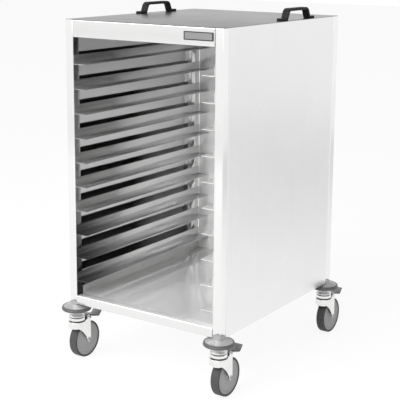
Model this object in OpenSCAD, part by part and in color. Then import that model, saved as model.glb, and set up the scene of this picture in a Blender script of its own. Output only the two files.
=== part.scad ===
// Closed tray trolley: square tube frame, sheet cladding, ten pairs of tray rails and four braked casters.
// The open side faces -Y, the floor is at Z = 0 and the overall box is centred on X = 0, Y = 0.

/* [Body] */
// Width over the posts
body_w = 600; // [560:10:700]
// Depth over the posts
body_d = 720; // [600:10:800]
// Side of the square post tube
post_w = 30; // [27:1:36]
// Wall of the post tube
post_wall = 1.5; // [1:0.1:2]
// Outer corner radius of the post tube
post_r = 3; // [2:0.5:4]
// Thickness of the cladding, deck and top sheets
sheet_t = 1.2; // [0.8:0.1:2]
// Outer radius of the bends in the cladding
bend_r = 2.5; // [2:0.5:4]
// Height of the fascia under the top
header_h = 56; // [45:1:80]
// Length of the return lip inside the fascia
header_lip = 8; // [5:1:12]
// Seam left beside each cladding sheet
seam = 1.2; // [0.4:0.1:1.6]

/* [Frame rails] */
// Width of the frame rails behind the cladding
frame_rail_w = 24; // [18:1:24]
// Height of the frame rails
frame_rail_h = 30; // [25:1:40]
// Wall of the frame rails
frame_rail_wall = 1.5; // [1:0.1:2]
// How far the frame rails stand inside the posts to carry the deck
deck_rest = 8; // [6:1:12]
// Underside of the bottom rails above the foot of the posts
bottom_rail_rise = 2; // [1:1:30]

/* [Tray rails] */
// Number of tray levels
levels = 10; // [4:1:10]
// Spacing of the tray levels
pitch = 80; // [60:5:100]
// Width of the ledge that carries a tray
ledge_w = 46; // [30:1:60]
// Height of the upstand beside a tray
upstand_h = 28; // [15:1:35]
// Thickness of the tray rail sheet
rail_t = 1.5; // [1:0.1:2]
// Lowest ledge above the deck
first_gap = 52; // [40:1:90]
// Highest ledge below the fascia
top_gap = 85; // [60:1:120]
// Tray rail end behind the front face of the posts
rail_front_gap = 1; // [0.5:0.5:3]

/* [Deck] */
// Height of the deck's side upstands
deck_upstand = 28; // [15:1:35]
// Front edge of the deck behind the front face of the posts
deck_front_gap = 1; // [1:0.5:6]

/* [Handles] */
// Length of a handle over its feet
handle_l = 208; // [200:2:240]
// Width of a handle
handle_w = 24; // [20:1:30]
// Height of a handle
handle_h = 38; // [34:1:50]
// Thickness of the grip and of the legs
grip_t = 9; // [7:1:12]
// Thickness of the handle feet
foot_t = 8; // [7:1:10]
// Clear length between the legs at the feet
grip_clear = 142; // [110:2:150]
// How far each leg leans in towards the grip
leg_lean = 12; // [4:1:16]
// Handle centre in from the side of the body
handle_inset = 21; // [20:1:24]
// Handle centre behind the front, as a distance
handle_back = 460; // [300:10:480]
// Shank radius of the handle screws
screw_r = 3; // [2.5:0.5:3]
// Head radius of the handle screws
screw_head_r = 5.5; // [5:0.5:7]
// Head height of the handle screws
screw_head_h = 3.5; // [2.5:0.5:4]
// Length of the handle screws under the head
screw_l = 22; // [15:1:28]

/* [Badge] */
// Width of the blank name plate
badge_w = 104; // [60:2:120]
// Height of the blank name plate
badge_h = 26; // [20:1:36]
// Thickness of the blank name plate
badge_t = 2.4; // [1.5:0.1:4]
// Width of the raised rim of the plate
badge_rim = 3; // [2:0.5:5]
// Depth of the plate's recessed field
badge_sink = 0.8; // [0.4:0.1:1.2]
// Plate end in from the right post
badge_inset = 6; // [2:1:40]
// Plate centre below the top of the body
badge_drop = 27; // [22:1:34]

/* [Casters] */
// Wheel diameter
wheel_d = 125; // [100:5:150]
// Width of the tyre
tyre_w = 30; // [24:1:36]
// Thickness of the tyre
tyre_t = 6.5; // [5:0.5:12]
// Radius of the tyre's shoulders
tyre_shoulder = 3; // [1:0.5:5]
// Recess of the hub's side below the tyre
hub_recess = 1.5; // [0.5:0.5:4]
// Radius of the hub's centre boss
hub_boss_r = 14; // [11:1:18]
// Offset of the axle behind the swivel axis
trail = 38; // [30:1:44]
// Gap between wheel and fork legs
leg_gap = 3; // [2:0.5:5]
// Thickness of the fork plate
fork_t = 3; // [2.5:0.5:4]
// Gap between the top of the wheel and the fork crown
crown_gap = 8; // [6:1:12]
// Radius of the fork's round crown
crown_r = 30; // [28:1:34]
// Radius of the fork's end at the axle
axle_boss_r = 10; // [8:1:14]
// Depth of the fork's front skirt below the crown
fork_skirt = 20; // [14:1:24]
// Centre of the fork's arch in front of the swivel axis
arch_front = 69; // [60:1:80]
// Centre of the fork's arch below the axle
arch_low = 44; // [36:1:50]
// Radius of the axle
axle_r = 4; // [3:0.5:5]
// Running clearance of axle, king pin and pedal pin, on the radius
run_fit = 0.06; // [0.03:0.01:0.1]

/* [Swivel head] */
// Radius of the swivel races
race_r = 27; // [25:1:28]
// Height of the lower race
race_h = 14; // [9:1:16]
// Gap between the two races
race_gap = 2; // [1.5:0.5:3]
// Height of the upper race
cap_h = 24; // [12:1:28]
// Height of the upper race's straight rim
cap_rim = 8; // [5:1:12]
// Radius of the upper race's neck under the bumper
neck_r = 19; // [16:1:24]
// Radius of the ball track
track_r = 18; // [15:1:20]
// Radius of a ball
ball_r = 2.5; // [2:0.1:3]
// Balls in one race
ball_count = 12; // [8:1:16]
// Clearance of a ball in its groove
ball_fit = 0.3; // [0.2:0.05:0.4]
// Radius of the king pin
king_r = 6; // [5:0.5:8]
// Radius of the king pin's riveted head
king_head_r = 10; // [9:0.5:12]
// Height of the king pin's riveted head
king_head_h = 3; // [2:0.5:3.5]

/* [Stem] */
// Radius of the stem inside the bumper
stem_r = 8; // [7:0.5:10]
// Length of the expander inside the post
expander_l = 55; // [40:1:70]
// Clearance between the expander and the post
expander_fit = 0.3; // [0.2:0.1:0.5]

/* [Bumper] */
// Radius of the bumper disc
bumper_r = 50; // [46:1:58]
// Thickness of the bumper's rim
bumper_rim = 13; // [10:1:16]
// Rise of the bumper's crown up to the post
bumper_rise = 9; // [6:1:12]

/* [Brake pedal] */
// Width of the pedal
pedal_w = 35; // [30:1:36]
// Reach of the pedal behind the swivel axis
pedal_reach = 112; // [104:1:116]
// Length of the pedal's rising tip
tip_l = 18; // [14:1:22]
// Rise of the pedal's tip
tip_rise = 14; // [8:0.5:16]
// Fall of the pedal's plate from its hinge to its tip
pedal_dip = 15; // [10:0.5:17]
// Thickness of the pedal plate
pedal_t = 4; // [3:0.5:5]
// Height of the pedal's side skirts
pedal_skirt = 7; // [5:0.5:7]
// Radius of the pedal's hinge barrel
barrel_r = 5; // [4:0.5:6]
// Radius of the pedal's hinge pin
pedal_pin_r = 3; // [2:0.5:3]
// Hinge pin behind the swivel axis
hinge_back = 36; // [34:0.5:38]
// Hinge pin above the fork crown
hinge_rise = 8; // [7:0.5:10]
// Thickness of the fork's hinge ears
ear_t = 3; // [2:0.5:4]
// Distance between the fork's hinge ears
ear_clear = 36; // [30:1:38]
// Brake shoe above the top of the wheel
shoe_gap = 2.7; // [2.6:0.1:5]
// Length of the brake shoe along the tread
shoe_l = 10; // [8:1:14]
// Width of the brake shoe
shoe_w = 22; // [16:1:26]

/* [Hidden] */
$fn = 64;
EPS = 0.01;
CORNERS = ["front_left", "front_right", "rear_left", "rear_right"];
CORNER_X = [-1, 1, -1, 1];
CORNER_Y = [-1, -1, 1, 1];
CASTER_NODES = ["bumper", "caster_stem", "fork", "axle", "hub", "tyre", "brake_pedal"];

// Heights, from the floor up
wheel_r = wheel_d / 2;
crown_z = wheel_d + crown_gap;
crown_top = crown_z + fork_t;
race_top = crown_top + race_h;
ball_z = race_top + race_gap / 2;
cap_z = race_top + race_gap;
bumper_z = cap_z + cap_h;
foot_z = bumper_z + bumper_rim + bumper_rise;
bottom_rail_z = foot_z + bottom_rail_rise;
deck_z = bottom_rail_z + frame_rail_h;
deck_top = deck_z + sheet_t;
first_ledge_z = deck_top + first_gap;
header_z = first_ledge_z + (levels - 1) * pitch + top_gap;
body_top = header_z + header_h;
under_top = body_top - sheet_t;
top_rail_z = under_top - frame_rail_h;
hinge_z = crown_top + hinge_rise;
plate_top = hinge_z + barrel_r;
plate_z = plate_top - pedal_t;

// Plan, with the overall box centred
rear_reach = max(trail + wheel_r, pedal_reach);
body_y = (bumper_r - rear_reach) / 2;
front_y = body_y - body_d / 2;
back_y = body_y + body_d / 2;
side_x = body_w / 2;
post_in_x = side_x - post_w;
stem_in = post_w / 2;
handle_y = front_y + handle_back;
foot_l = (handle_l - grip_clear) / 2;
screw_from_end = (foot_l - grip_t) / 2;
fold_d = post_w + deck_rest - frame_rail_w;
rail_back_y = back_y - sheet_t - seam;
panel_top_gap = sheet_t + seam;
leg_x = tyre_w / 2 + leg_gap;
axle_half = leg_x + fork_t;
hub_r = wheel_r - tyre_t;
hub_half = tyre_w / 2 - hub_recess;
ear_x = ear_clear / 2;
barrel_half = ear_x - 0.5;
plate_y = hinge_back + barrel_r + 1;
bend_y = pedal_reach - tip_l;
bend_z = plate_top - pedal_dip;
fork_front = 1 - sqrt(crown_r * crown_r - axle_half * axle_half);
fork_rear = trail + axle_boss_r;
arch_r = norm([arch_front + trail - axle_boss_r + 1, arch_low]);

function rail_name(level) = str("tray_rails_", level < 10 ? "0" : "", level);
function ledge_z(level) = first_ledge_z + (level - 1) * pitch;
function stem_x(c) = CORNER_X[c] * (side_x - stem_in);
function stem_y(c) = body_y + CORNER_Y[c] * (body_d / 2 - stem_in);
function screw_y(end) = handle_y + end * (handle_l / 2 - screw_from_end);
function unit(v) = v / norm(v);

// The two tangent points and the centre of a corner of radius r at b, between a and c
function corner_arc(a, b, c, r) =
    let (u = unit(a - b), v = unit(c - b), half = acos(u * v) / 2)
    [b + u * r / tan(half), b + v * r / tan(half), b + unit(u + v) * r / sin(half)];

// A convex outline with every corner rounded to r
module rounded_outline(points, r) {
    n = len(points);
    arcs = [for (i = [0:n - 1]) corner_arc(points[(i + n - 1) % n], points[i], points[(i + 1) % n], r)];
    polygon([for (arc = arcs) each [arc[0], arc[1]]]);
    for (arc = arcs)
        translate(arc[2])
            circle(r);
}

module rounded_rectangle(low, high, r) {
    rounded_outline([low, [high[0], low[1]], high, [low[0], high[1]]], r);
}

// A convex outline whose corners are rounded in short straight steps
function turn(d) = d > 180 ? d - 360 : d < -180 ? d + 360 : d;

function corner_steps(a, b, c, r, steps) =
    let (
        arc = corner_arc(a, b, c, r),
        start = arc[0] - arc[2],
        end = arc[1] - arc[2],
        first = atan2(start[1], start[0]),
        sweep = turn(atan2(end[1], end[0]) - first)
    )
    [for (i = [0:steps]) arc[2] + r * [cos(first + sweep * i / steps), sin(first + sweep * i / steps)]];

module stepped_outline(points, r, steps = 8) {
    n = len(points);
    polygon([
        for (i = [0:n - 1])
            each corner_steps(points[(i + n - 1) % n], points[i], points[(i + 1) % n], r, steps)
    ]);
}

// A box from one corner to the other; the two X values may come in either order
module slab(low, high) {
    translate([min(low[0], high[0]), low[1], low[2]])
        cube([abs(high[0] - low[0]), high[1] - low[1], high[2] - low[2]]);
}

// A box tube along axis 0, 1 or 2 by its outer corners
module box_tube(low, high, wall, axis) {
    inset = [for (a = [0:2]) a == axis ? -1 : wall];
    difference() {
        slab(low, high);
        slab(low + inset, high - inset);
    }
}

// Outline of a bent channel: web at the far side, legs towards Y = 0, centred on X
module channel_outline(width, depth, filled) {
    intersection() {
        difference() {
            rounded_rectangle([-width / 2, -depth], [width / 2, depth], bend_r);
            if (!filled)
                rounded_rectangle([sheet_t - width / 2, -2 * depth],
                    [width / 2 - sheet_t, depth - sheet_t], bend_r - sheet_t);
        }
        translate([-width / 2, 0])
            square([width, depth]);
    }
}

// Moves a caster piece to its corner
module at_corner(c) {
    translate([stem_x(c), stem_y(c), 0])
        children();
}

// Square tube post, open at the foot for the caster's expander
module post(c) {
    half = post_w / 2;
    bore = half - post_wall;
    color("gainsboro")
        at_corner(c)
            translate([0, 0, foot_z])
                linear_extrude(under_top - foot_z)
                    difference() {
                        rounded_rectangle([-half, -half], [half, half], post_r);
                        rounded_rectangle([-bore, -bore], [bore, bore], post_r - post_wall);
                    }
}

// Bent fascia between the front posts, with a lip inside
module header() {
    width = 2 * (post_in_x - seam);
    height = under_top - header_z;
    lip_y = front_y + post_w - sheet_t;
    color("gainsboro") {
        translate([-width / 2, front_y + post_w, header_z + height / 2])
            rotate([180, 90, 0])
                mirror([0, 0, 1])
                    linear_extrude(width)
                        channel_outline(height, post_w, false);
        slab([-width / 2, lip_y, header_z], [width / 2, lip_y + sheet_t, header_z + header_lip]);
    }
}

module bottom_rail_front() {
    color("gainsboro")
        box_tube([-post_in_x, front_y, bottom_rail_z],
            [post_in_x, front_y + post_w, deck_z], frame_rail_wall, 0);
}

// Rail between the rear posts, against the back panel, with its underside at z
module rear_rail(z) {
    y1 = back_y - sheet_t;
    color("silver")
        box_tube([-post_in_x, y1 - frame_rail_w, z], [post_in_x, y1, z + frame_rail_h],
            frame_rail_wall, 0);
}

// Rail between a front and a rear post, with its underside at z
module side_rail(side, z, holes) {
    x0 = post_in_x - deck_rest;
    low = [side > 0 ? x0 : -x0 - frame_rail_w, front_y + post_w, z];
    high = [side > 0 ? x0 + frame_rail_w : -x0, back_y - post_w, z + frame_rail_h];
    color("silver")
        difference() {
            box_tube(low, high, frame_rail_wall, 1);
            if (holes)
                screw_holes(side, z + frame_rail_h - 2 * frame_rail_wall, 4 * frame_rail_wall);
        }
}

// Clearance holes for one handle's screws
module screw_holes(side, z, depth) {
    for (end = [-1, 1])
        translate([side * (side_x - handle_inset), screw_y(end), z])
            cylinder(r = screw_r + 0.3, h = depth);
}

// Flat top sheet that closes the posts
module top_panel() {
    color("darkgray")
        difference() {
            translate([0, 0, under_top])
                linear_extrude(sheet_t)
                    rounded_rectangle([-side_x, front_y], [side_x, back_y], post_r);
            for (side = [-1, 1])
                screw_holes(side, under_top - 1, sheet_t + 2);
        }
}

// Deck pan with side upstands
module deck() {
    x = post_in_x - seam;
    y0 = front_y + post_w + seam;
    color("whitesmoke") {
        slab([-x, front_y + deck_front_gap, deck_z], [x, rail_back_y, deck_top]);
        for (side = [-1, 1])
            slab([side * x, y0, deck_z], [side * (x - sheet_t), rail_back_y, deck_top + deck_upstand]);
    }
}

// Bent side sheet between the posts; its edges and foot fold in to the side rails
module side_panel(side) {
    width = body_d - 2 * (post_w + seam);
    color("whitesmoke")
        translate([side * side_x, body_y, 0])
            rotate([0, 0, -90 * side])
                translate([0, -fold_d, foot_z]) {
                    linear_extrude(under_top - foot_z)
                        channel_outline(width, fold_d, false);
                    linear_extrude(sheet_t)
                        channel_outline(width, fold_d, true);
                }
}

// Back sheet between the posts; its foot folds in under the rear rail
module back_panel() {
    x = post_in_x - seam;
    color("whitesmoke") {
        slab([-x, back_y - sheet_t, foot_z], [x, back_y, under_top]);
        slab([-x, back_y - fold_d, foot_z], [x, back_y, foot_z + sheet_t]);
    }
}

// Section of the left tray rail: a ledge with an upstand at X = 0
module angle_outline() {
    r = bend_r;
    translate([r, 0])
        square([ledge_w - r, rail_t]);
    translate([0, r])
        square([rail_t, upstand_h + rail_t - r]);
    translate([r, r])
        intersection() {
            difference() {
                circle(r);
                circle(r - rail_t);
            }
            translate([-r, -r])
                square(r);
        }
}

// The pair of angle rails of one level, fixed to the inner faces of the posts
module tray_rails(level) {
    y0 = front_y + rail_front_gap;
    color("lightgray")
        for (side = [0, 1])
            mirror([side, 0, 0])
                translate([-post_in_x, rail_back_y, ledge_z(level) - rail_t])
                    rotate([90, 0, 0])
                        linear_extrude(rail_back_y - y0)
                            angle_outline();
}

// Side view of a bridge handle: two feet, two leaning legs and the grip
function leg_in(z) = grip_clear / 2 - leg_lean * z / handle_h;

module handle_outline() {
    below = -handle_h;
    outer = grip_t * 2 / 3;
    inner = grip_t / 2;
    grip_z = handle_h - grip_t;
    difference() {
        union() {
            stepped_outline([
                [-leg_in(below) - grip_t, below], [leg_in(below) + grip_t, below],
                [leg_in(handle_h) + grip_t, handle_h], [-leg_in(handle_h) - grip_t, handle_h]
            ], outer);
            translate([-handle_l / 2, 0])
                square([handle_l, foot_t]);
        }
        stepped_outline([
            [-leg_in(2 * below), 2 * below], [leg_in(2 * below), 2 * below],
            [leg_in(grip_z), grip_z], [-leg_in(grip_z), grip_z]
        ], inner);
        translate([-handle_l, -3 * handle_h])
            square([2 * handle_l, 3 * handle_h]);
    }
}

module handle(side) {
    color("black")
        translate([side * (side_x - handle_inset), handle_y, body_top])
            difference() {
                translate([-handle_w / 2, 0, 0])
                    rotate([90, 0, 90])
                        linear_extrude(handle_w)
                            handle_outline();
                for (end = [-1, 1])
                    translate([0, screw_y(end) - handle_y, -1]) {
                        cylinder(r = screw_r + 0.3, h = foot_t + 2);
                        translate([0, 0, 1 + foot_t - screw_head_h])
                            cylinder(r = screw_head_r + 0.3, h = handle_h);
                    }
            }
}

// Socket head screws that hold both handles to the top rails
module handle_screws() {
    color("dimgray")
        for (side = [-1, 1], end = [-1, 1])
            translate([side * (side_x - handle_inset), screw_y(end), body_top + foot_t - screw_head_h])
                difference() {
                    union() {
                        cylinder(r = screw_head_r, h = screw_head_h);
                        translate([0, 0, -screw_l])
                            cylinder(r = screw_r, h = screw_l + 1);
                    }
                    translate([0, 0, screw_head_h / 2])
                        cylinder(r = screw_r, h = screw_head_h, $fn = 6);
                }
}

// Blank plate with a raised rim
module badge() {
    x1 = post_in_x - badge_inset;
    z0 = body_top - badge_drop - badge_h / 2;
    field_y = front_y - badge_t + badge_sink;
    color("silver")
        difference() {
            slab([x1 - badge_w, front_y - badge_t, z0], [x1, front_y, z0 + badge_h]);
            slab([x1 - badge_w + badge_rim, front_y - badge_t - 1, z0 + badge_rim],
                [x1 - badge_rim, field_y, z0 + badge_h - badge_rim]);
        }
}

// Rubber disc with a half-round rim and a sloping crown, clamped under the post
module bumper(c) {
    rim = bumper_rim / 2;
    bore = stem_r + run_fit;
    color("gray")
        at_corner(c)
            translate([0, 0, bumper_z])
                rotate_extrude() {
                    translate([bore, 0])
                        square([bumper_r - rim - bore, bumper_rim]);
                    translate([bumper_r - rim, rim])
                        intersection() {
                            circle(rim);
                            translate([0, -rim])
                                square([rim, bumper_rim]);
                        }
                    polygon([
                        [bore, rim], [bumper_r - rim, rim],
                        [bumper_r - rim, bumper_rim], [stem_in, bumper_rim + bumper_rise],
                        [bore, bumper_rim + bumper_rise]
                    ]);
                }
}

// Ring groove that the balls run in
module ball_groove() {
    translate([0, 0, ball_z])
        rotate_extrude()
            translate([track_r, 0])
                circle(ball_r + ball_fit);
}

// Expander, stem, upper race and king pin, turned about one axis
module caster_stem(c) {
    expander_r = stem_in - post_wall - expander_fit;
    head_top = crown_z - 2 * ball_fit;
    color("lightslategray")
        at_corner(c)
            difference() {
                union() {
                    translate([0, 0, foot_z + 1])
                        cylinder(r = expander_r, h = expander_l);
                    translate([0, 0, bumper_z - 1])
                        cylinder(r = stem_r, h = foot_z - bumper_z + 3);
                    translate([0, 0, cap_z])
                        cylinder(r = race_r, h = cap_rim);
                    translate([0, 0, cap_z + cap_rim - 1])
                        cylinder(r1 = race_r, r2 = neck_r, h = cap_h - cap_rim + 1);
                    translate([0, 0, head_top - king_head_h / 2])
                        cylinder(r = king_r, h = cap_z - head_top + king_head_h);
                    translate([0, 0, head_top - king_head_h])
                        cylinder(r = king_head_r, h = king_head_h);
                }
                ball_groove();
            }
}

// Balls of all four swivel races
module swivel_balls() {
    color("silver")
        for (c = [0:3], n = [0:ball_count - 1])
            at_corner(c)
                rotate([0, 0, 360 * n / ball_count])
                    translate([track_r, 0, ball_z])
                        sphere(ball_r);
}

// Side view of a fork leg: an arch over the front of the wheel, down to the axle
module leg_outline() {
    difference() {
        translate([fork_front, wheel_r])
            square([fork_rear - fork_front, crown_top - wheel_r]);
        translate([-arch_front, wheel_r - arch_low])
            circle(arch_r);
    }
    translate([trail, wheel_r])
        circle(axle_boss_r);
}

// Curved front of the fork, from one leg round to the other
module front_skirt() {
    translate([0, 0, crown_z - fork_skirt])
        linear_extrude(fork_skirt + 1)
            intersection() {
                difference() {
                    circle(crown_r);
                    circle(crown_r - fork_t);
                }
                translate([-axle_half, -2 * crown_r])
                    square([2 * axle_half, 2 * crown_r + fork_front + 1]);
            }
}

// One hinge ear of the fork, with its lower X face at x
module hinge_ear(x) {
    translate([x, hinge_back - barrel_r, crown_top - 1])
        cube([ear_t, 2 * barrel_r, hinge_rise + 1]);
    translate([x, hinge_back, hinge_z])
        rotate([0, 90, 0])
            cylinder(r = barrel_r, h = ear_t);
}

// Round crown, two legs, the front skirt, the lower race and the pedal's hinge ears
module fork(c) {
    pin_half = ear_x + ear_t + 1;
    color("white")
        at_corner(c)
            difference() {
                union() {
                    translate([0, 0, crown_z]) {
                        cylinder(r = crown_r, h = fork_t);
                        translate([-axle_half, 0, 0])
                            cube([2 * axle_half, fork_rear, fork_t]);
                    }
                    front_skirt();
                    for (x = [-axle_half, leg_x])
                        translate([x, 0, 0])
                            rotate([90, 0, 90])
                                linear_extrude(fork_t)
                                    leg_outline();
                    translate([0, 0, crown_top - 1])
                        cylinder(r = race_r, h = race_h + 1);
                    for (x = [-ear_x - ear_t, ear_x])
                        hinge_ear(x);
                }
                translate([0, 0, crown_z - 1])
                    cylinder(r = king_r + run_fit, h = race_top - crown_z + 2);
                ball_groove();
                translate([-axle_half - 1, trail, wheel_r])
                    rotate([0, 90, 0])
                        cylinder(r = axle_r + run_fit, h = 2 * axle_half + 2);
                translate([-pin_half, hinge_back, hinge_z])
                    rotate([0, 90, 0])
                        cylinder(r = pedal_pin_r + run_fit, h = 2 * pin_half);
            }
}

// Wheel bolt with its head and nut
module axle(c) {
    head = 1.6 * axle_r;
    color("silver")
        at_corner(c)
            translate([0, trail, wheel_r])
                rotate([0, 90, 0]) {
                    cylinder(r = axle_r, h = 2 * axle_half + axle_r, center = true);
                    for (x = [-axle_half - axle_r, axle_half])
                        translate([0, 0, x])
                            cylinder(r = head, h = axle_r, $fn = 6);
                }
}

// Plastic wheel centre with flat sides and a boss that runs between the legs
module hub(c) {
    boss_half = leg_x - 0.4;
    color("darkgray")
        at_corner(c)
            translate([0, trail, wheel_r])
                rotate([0, 90, 0])
                    difference() {
                        union() {
                            cylinder(r = hub_r, h = 2 * hub_half, center = true);
                            cylinder(r = hub_boss_r, h = 2 * boss_half, center = true);
                        }
                        cylinder(r = axle_r + run_fit, h = 2 * leg_x, center = true);
                    }
}

// Tyre with rounded shoulders
module tyre(c) {
    s = tyre_shoulder;
    color("dimgray")
        at_corner(c)
            translate([0, trail, wheel_r])
                rotate([0, 90, 0])
                    rotate_extrude() {
                        translate([hub_r, -tyre_w / 2])
                            square([tyre_t - s, tyre_w]);
                        translate([wheel_r - s - 1, s - tyre_w / 2])
                            square([s + 1, tyre_w - 2 * s]);
                        for (side = [-1, 1])
                            translate([wheel_r - s, side * (tyre_w / 2 - s)])
                                circle(s);
                    }
}

// Side view of the pedal's falling plate and rising tip, from its top down to drop
module pedal_outline(drop) {
    fall = pedal_t * unit([tip_rise, -tip_l]);
    polygon([
        [plate_y, plate_top - drop], [bend_y + fall[0] / 2, bend_z - drop],
        [pedal_reach, bend_z + tip_rise + fall[1]], [pedal_reach - fall[0], bend_z + tip_rise],
        [bend_y, bend_z], [plate_y, plate_top]
    ]);
}

// A slice of the pedal from x0 to x1
module pedal_slice(x0, x1, drop) {
    translate([x0, 0, 0])
        rotate([90, 0, 90])
            linear_extrude(x1 - x0)
                pedal_outline(drop);
}

// Height of the middle of the pedal's plate
function plate_mid(y) = plate_top - pedal_t / 2 - pedal_dip * (y - plate_y) / (bend_y - plate_y);

// Brake shoe under the pedal's plate
module brake_shoe() {
    y0 = fork_rear + 4;
    y1 = y0 + shoe_l;
    z0 = wheel_d + shoe_gap;
    translate([-shoe_w / 2, 0, 0])
        rotate([90, 0, 90])
            linear_extrude(shoe_w)
                polygon([[y0, z0], [y1, z0], [y1, plate_mid(y1)], [y0, plate_mid(y0)]]);
}

// Brake pedal: barrel and pin, plate with side skirts, and the shoe over the tyre
module brake_pedal(c) {
    half = pedal_w / 2;
    pin_half = ear_x + ear_t + 1;
    barrel = barrel_r - 0.5;
    color("slategray")
        at_corner(c) {
            translate([-barrel_half, hinge_back, hinge_z])
                rotate([0, 90, 0])
                    cylinder(r = barrel, h = 2 * barrel_half);
            translate([-pin_half, hinge_back, hinge_z])
                rotate([0, 90, 0])
                    cylinder(r = pedal_pin_r, h = 2 * pin_half);
            translate([-barrel_half, hinge_back, hinge_z])
                cube([2 * barrel_half, plate_y - hinge_back + 1, barrel]);
            pedal_slice(-half, half, pedal_t);
            pedal_slice(-half, ear_t - half, pedal_skirt);
            pedal_slice(half - ear_t, half, pedal_skirt);
            brake_shoe();
        }
}

for (c = [0:3])
    post(c);
header();
bottom_rail_front();
rear_rail(bottom_rail_z);  // bottom_rail_rear
side_rail(-1, bottom_rail_z, false);  // bottom_rail_left
side_rail(1, bottom_rail_z, false);  // bottom_rail_right
rear_rail(top_rail_z);  // top_rail_rear
side_rail(-1, top_rail_z, true);  // top_rail_left
side_rail(1, top_rail_z, true);  // top_rail_right
top_panel();
deck();
side_panel(-1);  // side_panel_left
side_panel(1);  // side_panel_right
back_panel();
for (level = [1:levels])
    tray_rails(level);
handle(-1);  // handle_left
handle(1);  // handle_right
handle_screws();
badge();
swivel_balls();
for (c = [0:3]) {
    bumper(c);
    caster_stem(c);
    fork(c);
    axle(c);
    hub(c);
    tyre(c);
    brake_pedal(c);
}
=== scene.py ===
"""Tray trolley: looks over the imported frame, with a studio and the photograph's camera."""
from __future__ import annotations

import logging
import math
from dataclasses import dataclass
from enum import Enum

import bpy
from mathutils import Matrix, Vector

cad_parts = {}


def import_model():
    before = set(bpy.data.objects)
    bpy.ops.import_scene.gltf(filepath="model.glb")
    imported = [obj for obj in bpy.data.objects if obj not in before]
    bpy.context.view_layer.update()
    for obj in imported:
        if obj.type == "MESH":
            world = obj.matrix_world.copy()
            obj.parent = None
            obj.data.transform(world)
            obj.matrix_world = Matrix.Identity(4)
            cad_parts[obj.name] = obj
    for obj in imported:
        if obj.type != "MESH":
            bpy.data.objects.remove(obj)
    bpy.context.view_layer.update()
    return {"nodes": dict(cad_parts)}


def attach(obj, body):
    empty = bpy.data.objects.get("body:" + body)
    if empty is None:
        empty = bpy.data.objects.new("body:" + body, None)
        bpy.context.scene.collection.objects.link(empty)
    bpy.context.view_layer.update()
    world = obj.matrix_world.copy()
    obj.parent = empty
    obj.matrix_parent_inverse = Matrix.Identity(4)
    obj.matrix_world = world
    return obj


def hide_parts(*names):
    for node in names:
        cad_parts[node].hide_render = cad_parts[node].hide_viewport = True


LOG = logging.getLogger("tray_trolley")
Point = tuple[float, float]
Place = tuple[float, float, float]
Piece = bpy.types.Object
Material = bpy.types.Material
Socket = bpy.types.NodeSocket
ORIGIN: Place = (0.0, 0.0, 0.0)
EVEN: Place = (1.0, 1.0, 1.0)
# One millimetre, in Blender's metres.
MM = 0.001
# Points that lie closer than this, in metres, are merged.
TOUCH = 1e-6
# A face looks along an axis where its normal's share of that axis is above this.
FACING = 0.8
# Least angles between faces, in degrees, that stay crisp in smooth shading.
SHEET_CREASE = 25
TURNED_CREASE = 30
PRESSED_CREASE = 32
SOFT_CREASE = 40


class Axis(Enum):
    """A direction of the shared frame."""

    X = 0
    Y = 1
    Z = 2


class Named(Enum):
    """A choice whose name is also part of its pieces' names."""

    @property
    def word(self) -> str:
        """The name in lower case."""
        return self.name.lower()


class Side(Named):
    """The left or the right of the trolley, for someone facing its open front."""

    LEFT = -1
    RIGHT = 1


class Corner(Named):
    """One of the four corners, as its signs in X and Y."""

    FRONT_LEFT = (-1, -1)
    FRONT_RIGHT = (1, -1)
    REAR_LEFT = (-1, 1)
    REAR_RIGHT = (1, 1)


class Overlap(Enum):
    """What becomes of a piece where a tool passes through it, in Blender's words."""

    REMOVED = "DIFFERENCE"
    KEPT = "INTERSECT"


class Blend(Enum):
    """How a value passes from one end of a span to the other, in Blender's words."""

    STEADY = "LINEAR"
    SOFT = "SMOOTHSTEP"


class Sum(Enum):
    """How one value is worked out from two, in Blender's words."""

    LARGER = "MAXIMUM"
    PRODUCT = "MULTIPLY"
    REMAINDER = "SUBTRACT"


def arc(centre: Point, radius: float, start: float, end: float, steps: int = 6) -> list[Point]:
    """Points along an arc.

    Args:
        centre: The arc's centre.
        radius: Its radius.
        start: First angle in degrees.
        end: Last angle in degrees.
        steps: Number of chords.

    Returns:
        The points, both ends included.
    """
    turns = [math.radians(start + (end - start) * i / steps) for i in range(steps + 1)]
    return [(centre[0] + radius * math.cos(t), centre[1] + radius * math.sin(t)) for t in turns]


def rounded(points: list[Point], radii: list[float], steps: int = 5, closed: bool = True) -> list[Point]:
    """Round the corners of a line of points.

    Args:
        points: The sharp corners in order.
        radii: One radius for each corner; 0 keeps the corner sharp.
        steps: Chords in each rounded corner.
        closed: Whether the last corner joins the first.

    Returns:
        The rounded line.
    """
    out: list[Point] = []
    count = len(points)
    for i, (point, radius) in enumerate(zip(points, radii)):
        if radius <= 0 or (not closed and i in (0, count - 1)):
            out.append(point)
            continue
        here = Vector(point)
        back = (Vector(points[i - 1]) - here).normalized()
        ahead = (Vector(points[(i + 1) % count]) - here).normalized()
        half = back.angle(ahead) / 2
        middle = here + (back + ahead).normalized() * (radius / math.sin(half))
        first = here + back * (radius / math.tan(half)) - middle
        last = here + ahead * (radius / math.tan(half)) - middle
        start = math.degrees(math.atan2(first.y, first.x))
        sweep = (math.degrees(math.atan2(last.y, last.x)) - start + 180) % 360 - 180
        out += arc((middle.x, middle.y), radius, start, start + sweep, steps)
    return out


def box_points(low: Point, high: Point) -> list[Point]:
    """The four corners of a rectangle, turning left."""
    return [low, (high[0], low[1]), high, (low[0], high[1])]


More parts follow.
